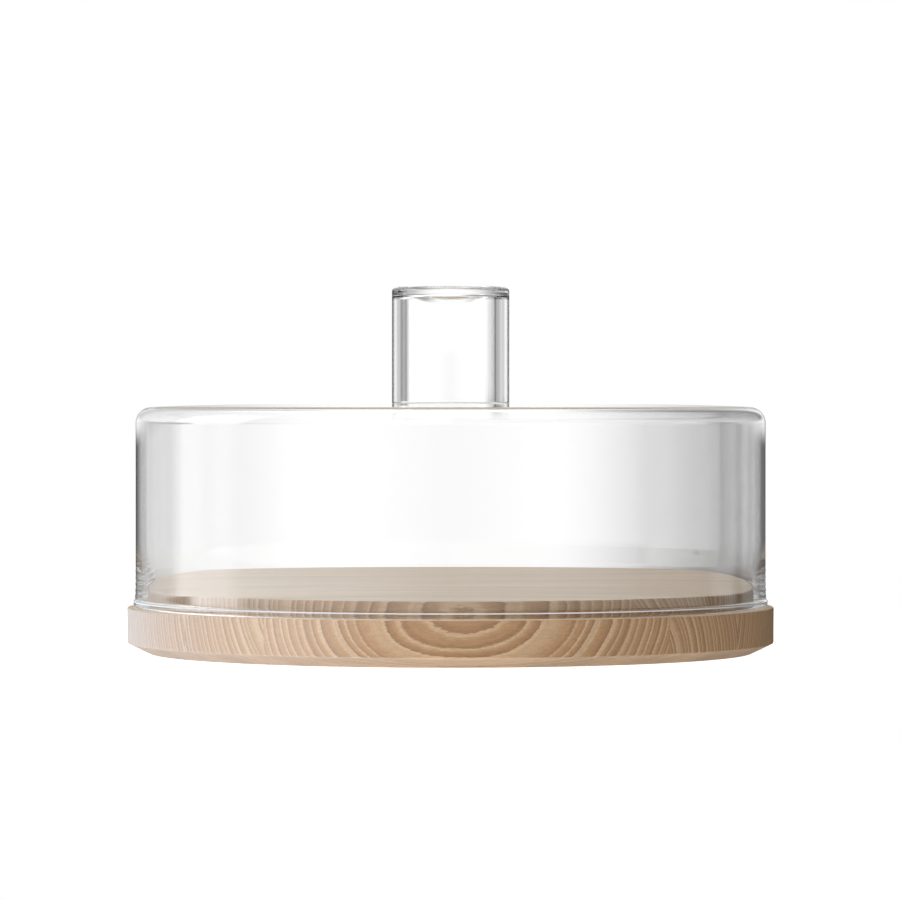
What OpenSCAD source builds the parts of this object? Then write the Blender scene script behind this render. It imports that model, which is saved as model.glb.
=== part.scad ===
// Cake stand dome: a clear glass dome with a hollow, tumbler-shaped handle, standing
// in the rabbet of a round board that is turned from a blank of edge-glued ash staves.
//
// Origin at the centre of the board's underside, +Z up, millimetres.
// The dome rests on the board's ledge by its own weight and lifts straight off.

/* [Board] */
// Outside diameter of the board
board_d = 320; // [318:1:340]
// Height of the ledge that the dome's rim stands on
ledge_h = 22.5; // [16:0.5:30]
// Diameter of the raised disc that the cake stands on
plinth_d = 300; // [260:1:302]
// Height of the raised disc above the ledge
plinth_rise = 8.5; // [3:0.5:14]
// Height of the chamfer around the underside
chamfer_h = 5; // [2:0.5:12]
// Inward reach of the chamfer around the underside
chamfer_in = 10.5; // [4:0.5:25]
// Width of the eased edges of the turned board
ease = 0.7; // [0.3:0.1:2]

/* [Staves] */
// Number of staves glued edge to edge
stave_count = 9; // [9:1:11]
// Width of one stave
stave_w = 38.2; // [37.5:0.1:42]
// Distance from the middle of the blank to the turning centre
blank_shift = 5.5; // [-5:0.1:8]
// Angle of the staves to the X axis, in degrees
stave_turn = 3.5; // [-90:0.1:90]

/* [Glass dome] */
// Outside diameter of the dome's straight wall
dome_d = 312; // [308:0.5:313]
// Height of the dome from its rim to its shoulder
dome_h = 100; // [60:1:200]
// Thickness of the blown wall
wall = 2.2; // [1.8:0.1:3]
// Outside radius of the shoulder
shoulder_r = 8; // [5:0.5:30]
// Rise of the top from the shoulder to the handle
top_rise = 0.6; // [0.2:0.1:4]
// Outside diameter of the rim
rim_d = 314; // [313:0.5:316]
// Radius of the fire-polished bead along the rim
bead_r = 2.1; // [1.6:0.1:2.4]
// Height over which the wall thickens towards the rim
flare_h = 28; // [10:1:50]

/* [Handle] */
// Outside diameter of the handle
handle_d = 58.2; // [40:0.2:90]
// Height of the handle
handle_h = 57.8; // [30:0.2:90]
// Thickness of the handle's side wall
handle_wall = 6.6; // [5:0.1:9]
// Thickness of the handle's top
handle_top = 3; // [2:0.1:9]
// Radius of the handle's top edge
handle_edge_r = 5; // [2:0.5:5.5]
// Radius at the top of the handle's hollow
hollow_r = 5; // [3:0.5:8]
// Spread of the fused foot beyond the handle's side
foot_spread = 0.4; // [0.2:0.1:2]

/* [Hidden] */
$fn = 180;
STAVES = [for (i = [1:stave_count]) str("stave_", i)];

board_r = board_d / 2;
plinth_r = plinth_d / 2;
plinth_h = ledge_h + plinth_rise;
blank_front = blank_shift - stave_count * stave_w / 2;

dome_r = dome_d / 2;
rim_r = rim_d / 2;

handle_r = handle_d / 2;
foot_r = handle_r + foot_spread;
foot_h = 2 * foot_spread;
seat_z = ledge_h + dome_h + top_rise;

// The disc that rounds an outside corner at [x, y]
module round_corner(x, y, r) {
    translate([x - r, y - r])
        circle(r = r);
}

// Half section of the turned board: chamfered underside, ledge and raised disc
module board_section() {
    polygon([
        [0, 0],
        [board_r - chamfer_in, 0],
        [board_r, chamfer_h],
        [board_r, ledge_h - ease],
        [board_r - ease, ledge_h],
        [plinth_r, ledge_h],
        [plinth_r, plinth_h - ease],
        [plinth_r - ease, plinth_h],
        [0, plinth_h]
    ]);
}

// One stave of the blank, cut to the turned section; stave 1 is at the front
module stave(i) {
    color(i % 2 == 0 ? "burlywood" : "wheat")
        rotate([0, 0, stave_turn])
            intersection() {
                rotate_extrude()
                    board_section();
                translate([-board_d, blank_front + (i - 1) * stave_w, -1])
                    cube([2 * board_d, stave_w, plinth_h + 2]);
            }
}

// Half section of the space under one skin of the dome, from the height of its foot up
module under_skin(foot, foot_x, side_x, top, corner_r) {
    polygon([
        [0, foot],
        [foot_x, foot],
        [foot_x, bead_r],
        [side_x, flare_h],
        [side_x, top - corner_r],
        [side_x - corner_r, top],
        [foot_r, top + top_rise],
        [0, top + top_rise]
    ]);
    round_corner(side_x, top, corner_r);
}

// Blown dome with its rim on the ledge, and a flat seat for the handle in its top
module dome_shell() {
    color("lightcyan", 0.4)
        translate([0, 0, ledge_h])
            rotate_extrude() {
                difference() {
                    under_skin(bead_r, rim_r, dome_r, dome_h, shoulder_r);
                    under_skin(0, rim_r - 2 * bead_r, dome_r - wall, dome_h - wall, shoulder_r - wall);
                }
                translate([rim_r - bead_r, bead_r])
                    circle(r = bead_r);
            }
}

// Half section of an upright round block with an eased top edge
module block_section(r, h, corner_r, foot) {
    polygon([
        [0, foot],
        [r, foot],
        [r, h - corner_r],
        [r - corner_r, h],
        [0, h]
    ]);
    round_corner(r, h, corner_r);
}

// Hollow handle, a thick tumbler upside down, fused to the seat in the dome's top
module handle() {
    color("azure", 0.5)
        translate([0, 0, seat_z])
            rotate_extrude()
                difference() {
                    union() {
                        block_section(handle_r, handle_h, handle_edge_r, 0);
                        polygon([[0, 0], [foot_r, 0], [handle_r, foot_h], [0, foot_h]]);
                    }
                    block_section(handle_r - handle_wall, handle_h - handle_top, hollow_r, -1);
                }
}

for (i = [1:stave_count])
    stave(i);
dome_shell();
handle();
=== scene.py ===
"""Looks of the cake stand dome: a blown glass dome with a hollow handle, on a turned ash board."""

import math

import bmesh
import bpy
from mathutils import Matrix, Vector


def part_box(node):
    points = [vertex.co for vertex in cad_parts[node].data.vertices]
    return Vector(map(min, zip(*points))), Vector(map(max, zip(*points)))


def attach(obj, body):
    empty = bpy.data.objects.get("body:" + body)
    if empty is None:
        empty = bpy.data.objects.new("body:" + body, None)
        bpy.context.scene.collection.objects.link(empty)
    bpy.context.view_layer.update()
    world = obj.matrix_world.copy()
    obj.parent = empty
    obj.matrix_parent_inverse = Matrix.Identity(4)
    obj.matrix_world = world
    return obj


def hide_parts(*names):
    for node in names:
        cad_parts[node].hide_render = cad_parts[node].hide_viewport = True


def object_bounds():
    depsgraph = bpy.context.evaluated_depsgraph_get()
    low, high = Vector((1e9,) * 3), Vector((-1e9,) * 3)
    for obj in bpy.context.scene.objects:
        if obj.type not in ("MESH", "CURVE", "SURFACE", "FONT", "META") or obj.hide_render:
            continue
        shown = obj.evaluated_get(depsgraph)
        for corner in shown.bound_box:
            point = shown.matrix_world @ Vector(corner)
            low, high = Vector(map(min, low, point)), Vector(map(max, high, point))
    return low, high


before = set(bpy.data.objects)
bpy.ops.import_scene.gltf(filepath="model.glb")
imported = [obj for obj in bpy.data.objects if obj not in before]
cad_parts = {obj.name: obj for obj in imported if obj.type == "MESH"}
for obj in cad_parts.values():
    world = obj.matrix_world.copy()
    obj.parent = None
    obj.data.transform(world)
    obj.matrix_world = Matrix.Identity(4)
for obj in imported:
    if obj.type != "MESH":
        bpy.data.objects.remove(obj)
cad_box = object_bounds()

MM = 0.001

# ---------------------------------------------------------------- places, from the frame

STAVES = sorted(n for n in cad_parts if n.startswith("stave_"))
dome_low, dome_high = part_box("dome_shell")
handle_low, handle_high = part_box("handle")
board_r = cad_box[1].x
plinth_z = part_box(STAVES[0])[1].z
ledge_z = dome_low.z
rim_r = dome_high.x
seat_z = handle_low.z
handle_top_z = handle_high.z

# Board section: a raised disc (the plinth) inside a ledge, with a chamfer under the edge
plinth_r = board_r - 10 * MM
chamfer_in = 10.5 * MM
chamfer_h = 5 * MM
arris_r = 0.6 * MM
chamfer_arris_r = 0.8 * MM

# Staves, as the CAD cuts them
stave_w = 38.2 * MM
blank_shift = 5.5 * MM
stave_turn = math.radians(3.5)
blank_front = blank_shift - len(STAVES) * stave_w / 2

# Dome section: the wall thickens as a wedge from flare_z down, and its outside flares just above the rim.
# It ends wall_end_h above the ledge, and a painted glint, a pale band standing in for the line of light on
# the rim, runs round it between the two heights set below
wall = 2.2 * MM
bead_r = 2.1 * MM
dome_r = rim_r - 1.0 * MM
crown = 1.7 * MM
shoulder_z = seat_z - crown
shoulder_r = 8 * MM
shelf_r = dome_r - shoulder_r
flare_h = 33 * MM
flare_z = ledge_z + flare_h
wedge_slope = 0.058
wedge_ramp = 12 * MM
wedge_h = 24 * MM
rim_flare = 0.35 * MM
rim_flare_h = 12 * MM
wall_end_h = 4 * MM
glint_low = 2.6 * MM
glint_high = 3.2 * MM

# Tooling ripples low on the outside of the wall, at the two sides: where x is over ripple_side of the radius
ripple_h = flare_h - 5 * MM
ripple_swell = 0.11 * MM
ripple_gap = 6 * MM
ripple_crowding = 1.3  # power of the depth, which crowds them toward the rim
ripple_side = 0.975
ripple_side_soft = 0.02

# Handle section: a solid cap over a sealed hollow, whose end sags
handle_r = 29.1 * MM
handle_wall = 6.6 * MM
handle_cap = 4.0 * MM
handle_edge_r = 2.4 * MM
foot_fillet = 0.3 * MM
hollow_gap = 0.5 * MM
hollow_foot_r = 0.3 * MM
hollow_edge_r = 2.2 * MM
hollow_sag = 4.6 * MM

# Fineness of the meshes
DOME_SEGMENTS = 240
HOLLOW_SEGMENTS = 128
BOARD_SEGMENTS = 288
WALL_STEPS = 60
TOP_STEPS = 40
RUN_STEP = 4 * MM


# ---------------------------------------------------------------- outlines and turned meshes

def arc(cx, cz, r, start, end, steps):
    """Points on an arc about (cx, cz), from start to end in degrees, both ends included."""
    turns = [math.radians(start + (end - start) * i / steps) for i in range(steps + 1)]
    return [(cx + r * math.cos(t), cz + r * math.sin(t)) for t in turns]


def run(a, b, steps, margin=0.25 * MM):
    """Points strictly between a and b, with one close to each end to keep the shading of the run straight."""
    length = math.dist(a, b)
    shares = [margin / length] + [i / steps for i in range(1, steps)] + [1 - margin / length]
    return [(a[0] + (b[0] - a[0]) * s, a[1] + (b[1] - a[1]) * s) for s in shares]


def joined(*stretches):
    """One outline through stretches of points, with the long gaps between them filled in as straight runs."""
    outline = list(stretches[0])
    for stretch in stretches[1:]:
        gap = math.dist(outline[-1], stretch[0])
        if gap > 1 * MM:
            outline += run(outline[-1], stretch[0], max(2, round(gap / RUN_STEP)))
        outline += stretch
    return outline


def turned(bm, outline, segments):
    """Turns an outline of (r, z) points that begins and ends on the Z axis, and adds the skin to bm."""
    rings = []
    turns = [2 * math.pi * i / segments for i in range(segments)]
    for r, z in outline:
        if r == 0:
            rings.append([bm.verts.new((0, 0, z))])
        else:
            rings.append([bm.verts.new((r * math.cos(t), r * math.sin(t), z)) for t in turns])
    faces = []
    for low, high in zip(rings, rings[1:]):
        for i in range(segments):
            j = (i + 1) % segments
            corners = [low[i % len(low)], low[j % len(low)], high[j % len(high)], high[i % len(high)]]
            faces.append(bm.faces.new(list(dict.fromkeys(corners))))
    bmesh.ops.recalc_face_normals(bm, faces=faces)
    for face in faces:
        face.smooth = True
    return faces


def mesh_object(name, bm):
    mesh = bpy.data.meshes.new(name)
    bm.to_mesh(mesh)
    bm.free()
    obj = bpy.data.objects.new(name, mesh)
    bpy.context.scene.collection.objects.link(obj)
    return obj


# ---------------------------------------------------------------- node helpers

def new_material(name):
    mat = bpy.data.materials.new(name)
    mat.use_nodes = True
    mat.node_tree.nodes.clear()
    return mat, mat.node_tree


def node(tree, kind, settings=None, **inputs):
    """A node of a kind; settings are its attributes, and inputs are values or sockets by input name."""
    made = tree.nodes.new(kind)
    for key, value in (settings or {}).items():
        setattr(made, key, value)
    for key, value in inputs.items():
        feed(tree, made.inputs[key.replace("_", " ")], value)
    return made


def feed(tree, socket, value):
    if isinstance(value, bpy.types.NodeSocket):
        tree.links.new(value, socket)
    else:
        socket.default_value = value


def math_node(tree, operation, *values):
    made = node(tree, "ShaderNodeMath", {"operation": operation})
    for socket, value in zip(made.inputs, values):
        feed(tree, socket, value)
    return made.outputs[0]


def step(tree, value, start, end):
    """0 to 1 along a smooth S curve, as the value goes from start to end."""
    made = node(tree, "ShaderNodeMapRange", {"interpolation_type": "SMOOTHSTEP"}, Value=value)
    made.inputs["From Min"].default_value = start
    made.inputs["From Max"].default_value = end
    return made.outputs[0]


def between(tree, share, first, second):
    """From the first level to the second, as share goes from 0 to 1."""
    made = node(tree, "ShaderNodeMix", {"data_type": "FLOAT"}, Factor=share, A=first, B=second)
    return made.outputs[0]


def blend(tree, share, first, second):
    """From the first colour to the second, as share goes from 0 to 1."""
    made = node(tree, "ShaderNodeMix", {"data_type": "RGBA"}, Factor=share, A=first, B=second)
    return made.outputs["Result"]


def noise(tree, vector, stretch, detail=2.0, seed=0.0):
    """Noise of about -1 to 1 over lengths in metres: stretch is the size of a blob along, across and up."""
    scaled = node(tree, "ShaderNodeVectorMath", {"operation": "DIVIDE"})
    feed(tree, scaled.inputs[0], vector)
    feed(tree, scaled.inputs[1], stretch)
    made = node(tree, "ShaderNodeTexNoise", {"noise_dimensions": "4D"}, Vector=scaled.outputs[0],
                W=seed, Scale=1.0, Detail=detail, Roughness=0.55)
    return math_node(tree, "MULTIPLY_ADD", made.outputs["Fac"], 4.0, -2.0)


def ring_noise(tree, ring, scale):
    """Noise that depends only on how many rings a point is from the pith."""
    made = node(tree, "ShaderNodeTexNoise", {"noise_dimensions": "1D"}, W=ring, Scale=scale, Detail=1.0)
    return made.outputs["Fac"]


def place_axes(tree):
    """X, Y and Z of a point in its object's own frame."""
    place = node(tree, "ShaderNodeTexCoord").outputs["Object"]
    return node(tree, "ShaderNodeSeparateXYZ", Vector=place).outputs


def levelness(tree, kind):
    """Z of a normal, as 0 on upright faces to 1 on level ones, up or down."""
    normal = node(tree, "ShaderNodeNewGeometry").outputs[kind]
    return math_node(tree, "ABSOLUTE", node(tree, "ShaderNodeSeparateXYZ", Vector=normal).outputs["Z"])


# ---------------------------------------------------------------- glass

CLEAR = (0.998, 0.998, 0.998, 1)
# Painted shade in the handle's glass: a grey tint along its outline and over its solid cap toward the sides,
# standing in for the dark surroundings it reflects
PAINTED_OUTLINE_SHADE = (0.25, 0.25, 0.25, 1)
PAINTED_SHADE_FACING = (0.66, 0.82)  # how far the glass turns from the eye where the grey begins and is full
PAINTED_SHADE_UPRIGHT = (0.8, 0.3)  # Z of the normal where the grey begins and is full
CAP_PAINTED_SHADE_FROM = (6.5 * MM, 5 * MM)  # depth under the handle's top where the cap's grey begins and is full
SHADE_THROUGH = (0.93, 0.95, 0.95, 1)
# Painted glint: the pale colour of the band round the rim that stands in for a line of light
PAINTED_GLINT = (0.85, 0.86, 0.88, 1)
GLASS_IOR = 1.5
TRAPPED_AFTER = 12  # bounces after which light caught inside the glass is let straight out


def ease(share):
    """0 to 1 along a smooth S curve."""
    share = min(max(share, 0), 1)
    return share * share * (3 - 2 * share)


def low_wall(z):
    """Outer and inner radius of the dome wall at a height: it thickens toward the rim and flares a little."""
    wedge = min(flare_z - z, wedge_h)
    if wedge > wedge_ramp:
        extra = wedge - wedge_ramp / 2
    else:
        extra = wedge * wedge / wedge_ramp / 2
    outer = dome_r + rim_flare * ease(1 - (z - ledge_z) / rim_flare_h)
    return outer, outer - wall - wedge_slope * extra


def crown_z(r):
    """Height of the dome's top at a radius: level round the handle, and lower toward the shoulder."""
    return seat_z - crown * (r / shelf_r) ** 4


def glass_outline():
    """Skin of the dome and its fused handle, from the handle's top round the rim to the inside."""
    inner_r = dome_r - wall
    inner_top = shoulder_z - wall
    inner_corner = shoulder_r - wall
    bead_z = ledge_z + bead_r
    wall_end_z = ledge_z + wall_end_h
    heights = [flare_z + (wall_end_z - flare_z) * i / WALL_STEPS for i in range(WALL_STEPS + 1)]
    foot_r = handle_r + foot_fillet
    reaches = [foot_r + (shelf_r - foot_r) * i / TOP_STEPS for i in range(1, TOP_STEPS)]
    lean = math.degrees(4 * crown / shelf_r)
    edge = handle_edge_r
    return joined(
        [(0, handle_top_z)],
        arc(handle_r - edge, handle_top_z - edge, edge, 90, 0, 16),
        arc(foot_r, seat_z + foot_fillet, foot_fillet, 180, 270, 8),
        [(r, crown_z(r)) for r in reaches],
        arc(shelf_r, shoulder_z - shoulder_r, shoulder_r, 90 - lean, 0, 20),
        [(low_wall(z)[0], z) for z in heights],
        [(rim_r, ledge_z + glint_high), (rim_r, ledge_z + glint_low)],
        arc(rim_r - bead_r, bead_z, bead_r, 0, -180, 24),
        [(low_wall(z)[1], z) for z in reversed(heights)],
        arc(inner_r - inner_corner, inner_top - inner_corner, inner_corner, 0, 90 - lean, 20),
        [(r, crown_z(r) - wall) for r in reversed(reaches)],
        [(0, seat_z - wall)],
    )


def hollow_outline():
    """Skin of the sealed hollow in the handle, from its floor to its end, which sags in the middle."""
    r = handle_r - handle_wall
    floor = seat_z + hollow_gap
    end = handle_top_z - handle_cap
    flat_r = r - hollow_edge_r
    sag_steps = 24
    shares = [i / sag_steps for i in range(sag_steps + 1)]
    return joined(
        [(0, floor)],
        arc(r - hollow_foot_r, floor + hollow_foot_r, hollow_foot_r, -90, 0, 6),
        arc(flat_r, end - hollow_edge_r, hollow_edge_r, 0, 80, 10),
        [(flat_r * (1 - t), end - hollow_sag * (1 - (1 - t) ** 3)) for t in shares],
    )


def add_ripples(bm):
    """Tooling ripples in the outside of the lower wall, strongest at the two sides."""
    for vert in bm.verts:
        depth = flare_z - vert.co.z
        r = vert.co.xy.length
        if 0 < depth < ripple_h and r > dome_r - 0.1 * MM:
            side = ease((abs(vert.co.x) / r - ripple_side) / ripple_side_soft)
            wave = math.sin(2 * math.pi * (depth / ripple_gap) ** ripple_crowding)
            vert.co.xy *= 1 + ripple_swell * ease(depth / flare_h) * side * wave / r


def painted_outline_shade(tree):
    """Painted shade in the handle's glass: how grey its outline is, and its solid cap toward the sides,
    standing in for dark surroundings reflected there.
    """
    height = place_axes(tree)["Z"]
    facing = node(tree, "ShaderNodeLayerWeight", Blend=0.5).outputs["Facing"]
    outline = step(tree, facing, *PAINTED_SHADE_FACING)
    cap = step(tree, height, *(handle_top_z - depth for depth in CAP_PAINTED_SHADE_FROM))
    dark = math_node(tree, "MAXIMUM", outline, math_node(tree, "MULTIPLY", cap, facing))
    on_handle = math_node(tree, "GREATER_THAN", height, seat_z + foot_fillet)
    upright = step(tree, levelness(tree, "Normal"), *PAINTED_SHADE_UPRIGHT)
    return math_node(tree, "MULTIPLY", math_node(tree, "MULTIPLY", on_handle, upright), dark)


def glass_material():
    """Clear glass, with painted shade along the handle's outline and cap; shadows, diffuse light and light
    caught inside it pass straight through.
    """
    mat, tree = new_material("clear_blown_glass")
    path = node(tree, "ShaderNodeLightPath").outputs
    # painted shade: grey blended into the glass colour at the handle's outline and cap
    color = blend(tree, painted_outline_shade(tree), CLEAR, PAINTED_OUTLINE_SHADE)
    glass = node(tree, "ShaderNodeBsdfGlass", Color=color, Roughness=0.0, IOR=GLASS_IOR)
    clear = node(tree, "ShaderNodeBsdfTransparent", Color=SHADE_THROUGH)
    trapped = math_node(tree, "GREATER_THAN", path["Ray Depth"], TRAPPED_AFTER)
    shading = math_node(tree, "MAXIMUM", path["Is Shadow Ray"], path["Is Diffuse Ray"])
    mix = node(tree, "ShaderNodeMixShader")
    feed(tree, mix.inputs[0], math_node(tree, "MAXIMUM", shading, trapped))
    feed(tree, mix.inputs[1], glass.outputs[0])
    feed(tree, mix.inputs[2], clear.outputs[0])
    node(tree, "ShaderNodeOutputMaterial", Surface=mix.outputs[0])
    return mat


def painted_glint_material():
    """A painted glint: a pale diffuse band standing in for the line of light that runs round the foot of the
    glass, where the wall turns in to the rim.
    """
    mat, tree = new_material("rim_painted_glint")
    surface = node(tree, "ShaderNodeBsdfPrincipled", Base_Color=PAINTED_GLINT, Roughness=0.3)
    node(tree, "ShaderNodeOutputMaterial", Surface=surface.outputs[0])
    return mat


def build_glass():
    """The dome and its fused handle as one skin, with the handle's hollow sealed inside it."""
    bm = bmesh.new()
    turned(bm, glass_outline(), DOME_SEGMENTS)
    add_ripples(bm)
    hollow = turned(bm, hollow_outline(), HOLLOW_SEGMENTS)
    bmesh.ops.reverse_faces(bm, faces=hollow)
    dome = mesh_object("glass_dome", bm)
    dome.data.materials.append(glass_material())
    dome.data.materials.append(painted_glint_material())
    # Painted glint: the rim faces between the two heights get the pale material
    for face in dome.data.polygons:
        height = face.center.z - ledge_z
        if glint_low < height < glint_high and face.center.xy.length > dome_r - bead_r:
            face.material_index = 1
    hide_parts("dome_shell", "handle")
    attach(dome, "dome")


# ---------------------------------------------------------------- wood

CREAM = (0.63, 0.44, 0.275, 1)
TAN = (0.50, 0.30, 0.155, 1)
BROWN = (0.40, 0.22, 0.105, 1)
DARK = (0.30, 0.155, 0.072, 1)
# Painted sheen: level faces, the top above all, pale toward this colour as if lit by a grazing light
LEVEL_SHEEN_COLOR = (0.80, 0.66, 0.50, 1)
YEAR = ((0.0, CREAM), (0.13, CREAM), (0.3, TAN), (0.7, BROWN), (0.93, DARK), (1.0, CREAM))
YEAR_FADE = 0.6  # how far the palest years fade to an even tan

RING = 2.3 * MM  # width of a growth ring
RING_ROUGH = 0.2 * MM
RING_START = 0.2  # where in a year the rings begin at the pith, as a share of the year
SEASONS = 1.3  # how far years run ahead of or behind an even width, in rings
WANDER = 1.6 * MM  # how far the grain strays sideways
LEVEL_SHEEN_SHARE = 0.38  # how far level faces pale toward the painted sheen colour
LEVEL_SHEEN_FROM = (0.5, 0.9)  # Z of the normal where that begins and is full
FIBRE_TONE = 0.17
STREAK_TONE = 0.09
FIGURE_TONE = 0.4
LINES_TONE = 0.3
PORE_TONE = -0.3
PITH_BESIDE = 60 * MM  # distance of the front stave's pith in front of its middle
PITH_APART = 9 * MM
PITHS = ((27 * MM, 0.0), (14 * MM, 0.13))  # height and slope of the pith in even and odd staves


def board_outline():
    """Half section of the turned board, from the middle of its underside to the middle of its top."""
    foot_r = board_r - chamfer_in
    slope = math.degrees(math.atan2(chamfer_h, chamfer_in))
    tangent = chamfer_arris_r * math.tan(math.radians((90 - slope) / 2))
    return joined(
        [(0, 0)],
        [(foot_r, 0)],
        arc(board_r - chamfer_arris_r, chamfer_h + tangent, chamfer_arris_r, slope - 90, 0, 6),
        arc(board_r - arris_r, ledge_z - arris_r, arris_r, 0, 90, 8),
        [(plinth_r, ledge_z)],
        arc(plinth_r - arris_r, plinth_z - arris_r, arris_r, 0, 90, 8),
        [(0, plinth_z)],
    )


def build_stave(name, index):
    """The board between two upright cuts."""
    bm = bmesh.new()
    turned(bm, board_outline(), BOARD_SEGMENTS)
    across = Vector((-math.sin(stave_turn), math.cos(stave_turn), 0))
    near = blank_front + index * stave_w
    for side, v in ((1, near + stave_w), (-1, near)):
        everything = bm.verts[:] + bm.edges[:] + bm.faces[:]
        cut = bmesh.ops.bisect_plane(bm, geom=everything, plane_co=across * v, plane_no=across * side,
                                     clear_outer=True)
        edges = [e for e in cut["geom_cut"] if isinstance(e, bmesh.types.BMEdge)]
        for edge in edges:
            edge.smooth = False
        if edges:
            bmesh.ops.contextual_create(bm, geom=edges)
    bmesh.ops.recalc_face_normals(bm, faces=bm.faces)
    stave = mesh_object(name + "_ash", bm)
    stave.data.materials.append(ash_material(name, index, near + stave_w / 2))
    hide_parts(name)
    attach(stave, "base")


def ring_count(tree, along, index):
    """How many growth rings a point is from the pith, with years of uneven width."""
    axes = node(tree, "ShaderNodeSeparateXYZ", Vector=along).outputs
    pith_v = -PITH_BESIDE - PITH_APART * index
    pith_z, tilt = PITHS[index % 2]
    wander = noise(tree, along, (120 * MM, 60 * MM, 60 * MM), seed=index)
    v = math_node(tree, "MULTIPLY_ADD", wander, WANDER, math_node(tree, "SUBTRACT", axes["Y"], pith_v))
    h = math_node(tree, "MULTIPLY_ADD", axes["X"], tilt, math_node(tree, "SUBTRACT", axes["Z"], pith_z))
    squares = math_node(tree, "ADD", math_node(tree, "MULTIPLY", v, v), math_node(tree, "MULTIPLY", h, h))
    radius = math_node(tree, "SQRT", squares)
    rough = noise(tree, along, (4 * MM, 0.5 * MM, 0.5 * MM), detail=3.0, seed=index + 60)
    ring = math_node(tree, "DIVIDE", math_node(tree, "MULTIPLY_ADD", rough, RING_ROUGH, radius), RING)
    seasons = ring_noise(tree, ring, 0.6)
    return math_node(tree, "MULTIPLY_ADD", seasons, SEASONS, math_node(tree, "ADD", ring, RING_START))


def year_color(tree, ring, growth):
    """Colour through a year's growth, paler in some years than in others."""
    year = node(tree, "ShaderNodeTexWhiteNoise", {"noise_dimensions": "1D"}, W=math_node(tree, "FLOOR", ring))
    ramp = node(tree, "ShaderNodeValToRGB", Fac=growth)
    stops = ramp.color_ramp.elements
    for end, (position, color) in ((0, YEAR[0]), (1, YEAR[-1])):
        stops[end].position = position
        stops[end].color = color
    for position, color in YEAR[1:-1]:
        stops.new(position).color = color
    fade = math_node(tree, "MULTIPLY", year.outputs["Value"], YEAR_FADE)
    return blend(tree, fade, ramp.outputs[0], TAN)


def wood_tone(tree, along, index, ring, growth, level_sheen_and_figure):
    """Light and dark about 1, from fibres, streaks, the figure of level faces, fine lines and pores."""
    fibre = noise(tree, along, (14 * MM, 0.35 * MM, 0.35 * MM), detail=3.0, seed=index)
    streak = noise(tree, along, (60 * MM, 1.5 * MM, 1.2 * MM), detail=3.0, seed=index + 20)
    figure = noise(tree, along, (160 * MM, 14 * MM, 14 * MM), detail=1.0, seed=index + 80)
    lines = math_node(tree, "SUBTRACT", ring_noise(tree, ring, 7.0), 0.5)
    speck = noise(tree, along, (5 * MM, 0.22 * MM, 0.22 * MM), detail=1.0, seed=index + 40)
    pore = math_node(tree, "MULTIPLY", step(tree, speck, 0.55, 0.9), step(tree, growth, 0.2, 0.8))
    figure_tone = math_node(tree, "MULTIPLY", level_sheen_and_figure, FIGURE_TONE)
    tone = 1.0
    for pattern, strength in ((fibre, FIBRE_TONE), (streak, STREAK_TONE), (figure, figure_tone),
                              (lines, LINES_TONE), (pore, PORE_TONE)):
        tone = math_node(tree, "MULTIPLY_ADD", pattern, strength, tone)
    return tone


def ash_material(name, index, middle):
    """Ash with growth rings about a pith beside the stave, high in one stave and low in the next."""
    mat, tree = new_material("ash_" + name)
    place = node(tree, "ShaderNodeTexCoord").outputs["Object"]
    grain = node(tree, "ShaderNodeMapping", Vector=place, Rotation=(0, 0, -stave_turn),
                 Location=(0, -middle, 0))
    along = grain.outputs[0]
    ring = ring_count(tree, along, index)
    growth = math_node(tree, "FRACT", ring)
    # Painted sheen: level faces pale toward a light colour, as grazing light would leave them; the same share
    # brings out the figure there
    level = step(tree, levelness(tree, "True Normal"), *LEVEL_SHEEN_FROM)
    level_sheen_and_figure = math_node(tree, "MULTIPLY", level, LEVEL_SHEEN_SHARE)
    wood = blend(tree, level_sheen_and_figure, year_color(tree, ring, growth), LEVEL_SHEEN_COLOR)
    shaded = node(tree, "ShaderNodeVectorMath", {"operation": "SCALE"},
                  Scale=wood_tone(tree, along, index, ring, growth, level_sheen_and_figure))
    feed(tree, shaded.inputs[0], wood)
    surface = node(tree, "ShaderNodeBsdfPrincipled", Base_Color=shaded.outputs[0], Roughness=0.42)
    surface.inputs["Specular IOR Level"].default_value = 0.9
    node(tree, "ShaderNodeOutputMaterial", Surface=surface.outputs[0])
    return mat


# ---------------------------------------------------------------- camera

CAMERA_DISTANCE = 2.4
CAMERA_HEIGHT = 0.1219
CAMERA_SIDE = -0.0003
FIELD_WIDTH = 0.4465  # metres across the picture at the object's middle
FIELD_DROP = 0.02183  # how far the picture's middle lies below the camera, at the object


def build_camera():
    data = bpy.data.cameras.new("camera")
    data.sensor_width = 36
    data.lens = data.sensor_width * CAMERA_DISTANCE / FIELD_WIDTH
    data.clip_end = 50
    camera = bpy.data.objects.new("camera", data)
    bpy.context.scene.collection.objects.link(camera)
    camera.location = (CAMERA_SIDE, -CAMERA_DISTANCE, CAMERA_HEIGHT)
    camera.rotation_euler = (math.pi / 2 - math.atan(FIELD_DROP / CAMERA_DISTANCE), 0, 0)
    bpy.context.scene.camera = camera
    return camera


# ---------------------------------------------------------------- studio

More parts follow.
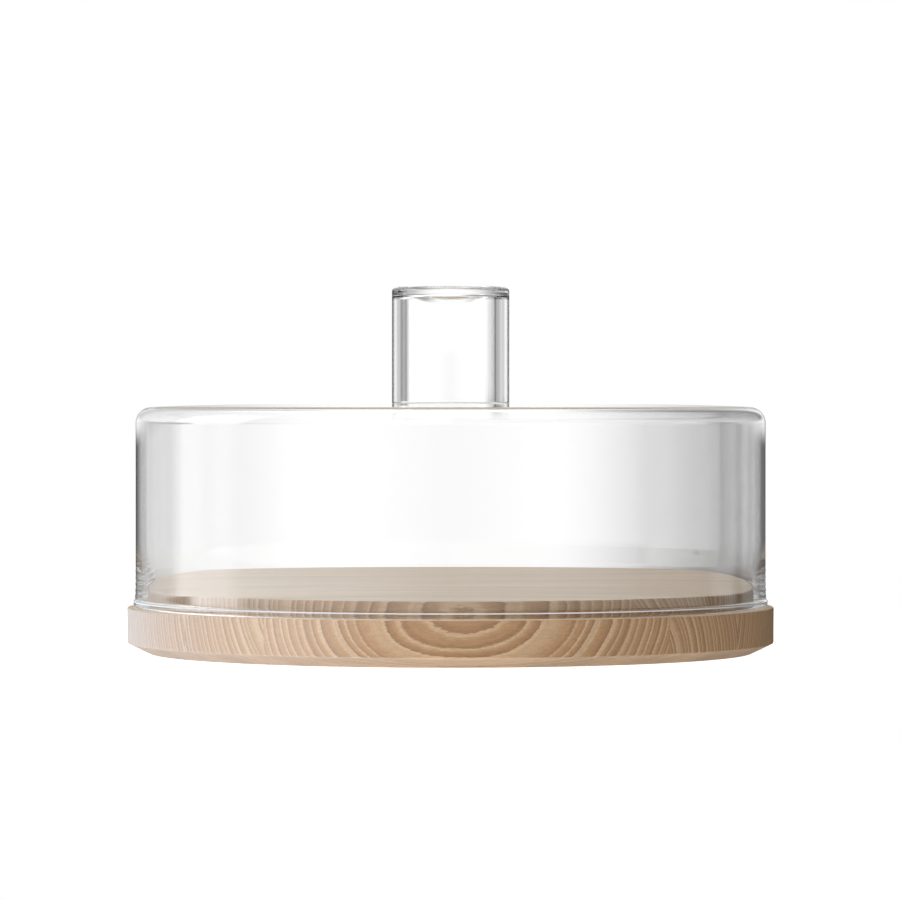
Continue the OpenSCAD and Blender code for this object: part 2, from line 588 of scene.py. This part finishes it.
# Cards round the studio, seen only in the glass: where each begins and ends, in degrees round from straight
# behind the object and + to the right, then the softness of its edges, and how bright it is at its two ends
LOW_CARDS = (
    (-61, -12, 12, 1.3, 0.1),  # left wing of the backdrop
    (-93, -61, 12, 3.4, 2.7),  # left strip softbox
    (-190, -93, 12, 0.0, 2.6),  # left scrim, which runs round to the front
    (8, 48, 4, 0.1, 0.3),  # right wing of the backdrop
    (54, 70, 8, 0.6, 0.6),  # gap beside it
    (70, 109, 3, 0.05, 0.05),  # wall on the right
    (109, 190, 3, 0.28, 0.28),  # front window
)
EYE_CARDS = (
    (-190, -98, 10, 1.0, 1.0),  # left scrim at the height of the handle
    (-98, -72, 8, 3.4, 3.4),  # left strip softbox
    (-72, -38, 10, 0.12, 0.35),  # left wing, its outer half
    (-38, -10, 10, 0.45, 1.20),  # left wing, its inner half
    (10, 75, 10, 1.05, 0.10),  # right wing
    (75, 190, 10, 0.8, 0.8),  # front window
)
HIGH_CARDS = (
    (-200, -98, 10, 1.2, 1.5),  # upper left and front
    (-98, -62, 10, 3.8, 3.8),  # top of the left strip softbox
    (-62, -48, 10, 1.8, 1.8),  # gap beside it
    (-48, -12, 10, 1.5, 0.5),  # upper left of the backdrop
    (-12, 14, 8, 1.02, 1.02),  # upper middle of the backdrop
    (14, 60, 10, 0.25, 0.1),  # upper right of the backdrop
    (60, 200, 20, 0.1, 0.5),  # upper right and front
)
# Where one ring of cards goes over into the next, as the sine of the angle above the camera's line of sight
EYE_FROM = (0.0, 0.006)
HIGH_FROM = (0.04, 0.12)
CEILING_FROM = (0.5, 0.85)
CEILING = (1.3, 0.3)  # at the left and at the right
CEILING_SIDES = (0.05, 0.45)

# Light on the wood and the floor, as cards: the dull light from the left, and the gloss it leaves on the wood
FILL = 0.02
SIDE_GLOW = (-110, -15, 40, 0.4, 0.4)
SHEEN = (-140, -20, 30, 5.6, 2.6)
SHEEN_TINT = (0.64, 0.80, 0.98, 1)
WHITE = (1, 1, 1, 1)

PAPER_W = 0.4
PAPER_LOW = -0.3
PAPER_HIGH = 0.4
PAPER_BACK = 0.3
PAPER_LEVEL = 1.07
PAPER_SIDE_LOSS = 0.55
PAPER_SIDES = (55 * MM, 200 * MM)  # from where to where it grows duller toward both sides
PAPER_RIGHT_LOSS = 0.32  # below the top of the dome, the right of the paper is duller still
PAPER_RIGHT = (50 * MM, 145 * MM)
PAPER_RIGHT_TOP = (8 * MM, -4 * MM)

FLOOR_R = 0.6
FLOOR_FADE_R = 1.5 * board_r
FLOOR_DROP = 0.2 * MM
FLOOR_WHITE = (0.9, 0.9, 0.9, 1)
FLOOR_GLOW = 0.42

AIM_HEIGHT = 0.06
BOUNCES = 24


def card(tree, turn, start, end, soft, first, last):
    """Brightness of one card at an azimuth."""
    from_start = step(tree, turn, start - soft / 2, start + soft / 2)
    to_end = step(tree, turn, end + soft / 2, end - soft / 2)
    level = node(tree, "ShaderNodeMapRange", Value=turn)
    level.inputs["From Min"].default_value = start
    level.inputs["From Max"].default_value = end
    level.inputs["To Min"].default_value = first
    level.inputs["To Max"].default_value = last
    return math_node(tree, "MULTIPLY", math_node(tree, "MULTIPLY", from_start, to_end), level.outputs[0])


def cards(tree, turn, places):
    """Brightness of a ring of cards at an azimuth."""
    total = 0.0
    for settings in places:
        total = math_node(tree, "ADD", total, card(tree, turn, *settings))
    return total


def build_world():
    """White for the camera, rings of cards for the glass, and a fill with a side light for the rest."""
    world = bpy.data.worlds.new("studio")
    bpy.context.scene.world = world
    world.use_nodes = True
    world.cycles.sampling_method = "NONE"
    tree = world.node_tree
    tree.nodes.clear()
    way = node(tree, "ShaderNodeTexCoord").outputs["Camera"]
    right, up, ahead = node(tree, "ShaderNodeSeparateXYZ", Vector=way).outputs
    turn = math_node(tree, "DEGREES", math_node(tree, "ARCTAN2", right, ahead))
    low = cards(tree, turn, LOW_CARDS)
    eye = cards(tree, turn, EYE_CARDS)
    high = cards(tree, turn, HIGH_CARDS)
    room = between(tree, step(tree, up, *EYE_FROM), low, eye)
    room = between(tree, step(tree, up, *HIGH_FROM), room, high)
    ceiling = between(tree, step(tree, right, *CEILING_SIDES), *CEILING)
    room = between(tree, step(tree, math_node(tree, "ABSOLUTE", up), *CEILING_FROM), room, ceiling)
    path = node(tree, "ShaderNodeLightPath").outputs
    glow = between(tree, path["Is Glossy Ray"], card(tree, turn, *SIDE_GLOW), card(tree, turn, *SHEEN))
    dull = math_node(tree, "ADD", glow, FILL)
    seen = between(tree, path["Is Camera Ray"], between(tree, path["Is Singular Ray"], dull, room), 1.0)
    tint = blend(tree, path["Is Singular Ray"], blend(tree, path["Is Glossy Ray"], WHITE, SHEEN_TINT), WHITE)
    shade = node(tree, "ShaderNodeBackground", Color=tint, Strength=seen)
    node(tree, "ShaderNodeOutputWorld", Surface=shade.outputs[0])


def studio_middle(camera):
    """A point in the middle of the studio that keeps facing the camera."""
    middle = bpy.data.objects.new("studio_middle", None)
    bpy.context.scene.collection.objects.link(middle)
    middle.location.z = CAMERA_HEIGHT
    aim = middle.constraints.new("TRACK_TO")
    aim.target = camera
    aim.track_axis = "TRACK_NEGATIVE_Y"
    aim.up_axis = "UP_Z"
    return middle


def paper_material():
    mat, tree = new_material("white_paper")
    place = place_axes(tree)
    sides = step(tree, math_node(tree, "ABSOLUTE", place["X"]), *PAPER_SIDES)
    low = step(tree, place["Z"], *PAPER_RIGHT_TOP)
    right = math_node(tree, "MULTIPLY", low, step(tree, place["X"], *PAPER_RIGHT))
    level = math_node(tree, "MULTIPLY_ADD", sides, -PAPER_SIDE_LOSS, PAPER_LEVEL)
    level = math_node(tree, "MULTIPLY_ADD", right, -PAPER_RIGHT_LOSS, level)
    glow = node(tree, "ShaderNodeEmission", Color=WHITE, Strength=level)
    node(tree, "ShaderNodeOutputMaterial", Surface=glow.outputs[0])
    return mat


def build_paper(camera):
    """White paper close behind the object, seen only in the glass; it keeps behind as the camera moves."""
    bm = bmesh.new()
    half = PAPER_W / 2
    corners = [(-half, 0, PAPER_LOW), (half, 0, PAPER_LOW), (half, 0, PAPER_HIGH), (-half, 0, PAPER_HIGH)]
    bm.faces.new([bm.verts.new(c) for c in corners])
    paper = mesh_object("paper", bm)
    paper.parent = studio_middle(camera)
    paper.location.y = PAPER_BACK
    for ray in ("camera", "diffuse", "shadow", "volume_scatter"):
        setattr(paper, "visible_" + ray, False)
    paper.data.materials.append(paper_material())


def floor_material():
    """Pale and lit, with a glow that is white to the camera, fading out toward the edge."""
    mat, tree = new_material("pale_floor")
    reach = node(tree, "ShaderNodeVectorMath", {"operation": "LENGTH"})
    feed(tree, reach.inputs[0], node(tree, "ShaderNodeTexCoord").outputs["Object"])
    fade = step(tree, reach.outputs["Value"], FLOOR_FADE_R, FLOOR_R)
    seen = node(tree, "ShaderNodeLightPath").outputs["Is Camera Ray"]
    lit = node(tree, "ShaderNodeBsdfDiffuse", Color=FLOOR_WHITE)
    glow = node(tree, "ShaderNodeEmission", Color=WHITE, Strength=between(tree, seen, FLOOR_GLOW, 1.0))
    both = node(tree, "ShaderNodeAddShader")
    feed(tree, both.inputs[0], lit.outputs[0])
    feed(tree, both.inputs[1], glow.outputs[0])
    clear = node(tree, "ShaderNodeBsdfTransparent")
    mix = node(tree, "ShaderNodeMixShader")
    feed(tree, mix.inputs[0], fade)
    feed(tree, mix.inputs[1], both.outputs[0])
    feed(tree, mix.inputs[2], clear.outputs[0])
    node(tree, "ShaderNodeOutputMaterial", Surface=mix.outputs[0])
    return mat


def build_floor():
    """Floor just under the board, which the glass doesn't show."""
    bm = bmesh.new()
    bmesh.ops.create_circle(bm, cap_ends=True, segments=96, radius=FLOOR_R)
    floor = mesh_object("floor", bm)
    floor.location.z = -FLOOR_DROP
    floor.data.materials.append(floor_material())
    floor.visible_transmission = False
    floor.visible_glossy = False


def softbox(camera, name, azimuth, distance, height, size, power):
    """A square light that moves with the camera; azimuth 0 is behind the object, and 90 to the right."""
    data = bpy.data.lights.new(name, "AREA")
    data.size = size
    data.energy = power
    light = bpy.data.objects.new(name, data)
    bpy.context.scene.collection.objects.link(light)
    a = math.radians(azimuth)
    light.location = (distance * math.sin(a), distance * math.cos(a), height)
    aim = Vector((0, 0, AIM_HEIGHT)) - light.location
    light.rotation_euler = aim.to_track_quat("-Z", "Y").to_euler()
    light.visible_camera = False
    light.visible_glossy = False
    light.visible_transmission = False
    bpy.context.view_layer.update()
    light.parent = camera
    light.matrix_parent_inverse = camera.matrix_world.inverted()


def set_light_paths():
    """Enough bounces for light that runs round inside the glass, and colours as they are."""
    scene = bpy.context.scene
    for kind in ("max", "transmission", "glossy", "transparent_max"):
        setattr(scene.cycles, kind + "_bounces", BOUNCES)
    scene.view_settings.view_transform = "Standard"


for index, name in enumerate(STAVES):
    build_stave(name, index)
build_glass()
camera = build_camera()
build_world()
build_paper(camera)
build_floor()
softbox(camera, "front_key", azimuth=-166, distance=1.3, height=0.35, size=0.7, power=6.8)
softbox(camera, "overhead", azimuth=0, distance=0.01, height=1.4, size=1.4, power=14)
set_light_paths()
